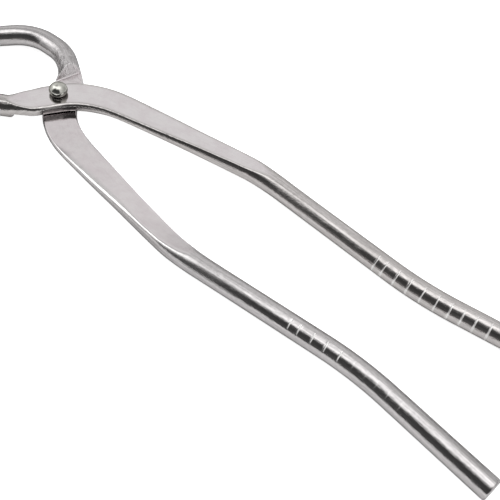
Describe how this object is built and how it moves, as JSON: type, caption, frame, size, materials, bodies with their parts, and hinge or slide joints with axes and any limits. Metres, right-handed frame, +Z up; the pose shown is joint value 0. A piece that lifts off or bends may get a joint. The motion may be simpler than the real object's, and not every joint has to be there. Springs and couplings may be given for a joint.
{
  "type": "crucible tongs",
  "caption": "Scissor-action crucible tongs: two forged round-bar arms crossing at a ball-headed rivet, bowed jaws with upturned tips, waisted handles with finger nicks.",
  "frame": {"origin": "on the rivet's axis, at the flat back of the rivet's tail, which is level with the table the tongs lie on", "axes": "+X runs along the tongs from the rivet towards the handle ends, +Z runs up along the rivet's axis towards its ball head, +Y points to the side of the front arm's handle"},
  "size_m": [0.2944, 0.0604, 0.0249],
  "materials": {
    "front_arm_steel": "polished",
    "rear_arm_steel": "polished",
    "rivet_steel": "polished"
  },
  "bodies": {
    "rear_half": {"rear_arm": "rear_arm_steel", "pivot_rivet": "rivet_steel"},
    "front_half": {"front_arm": "front_arm_steel"}
  },
  "joints": [
    {"name": "pivot", "type": "hinge", "parent": "rear_half", "child": "front_half", "pos_m": [0, 0, 0.004], "axis": [0, 0, 1], "range_deg": [-4, 48]}
  ]
}
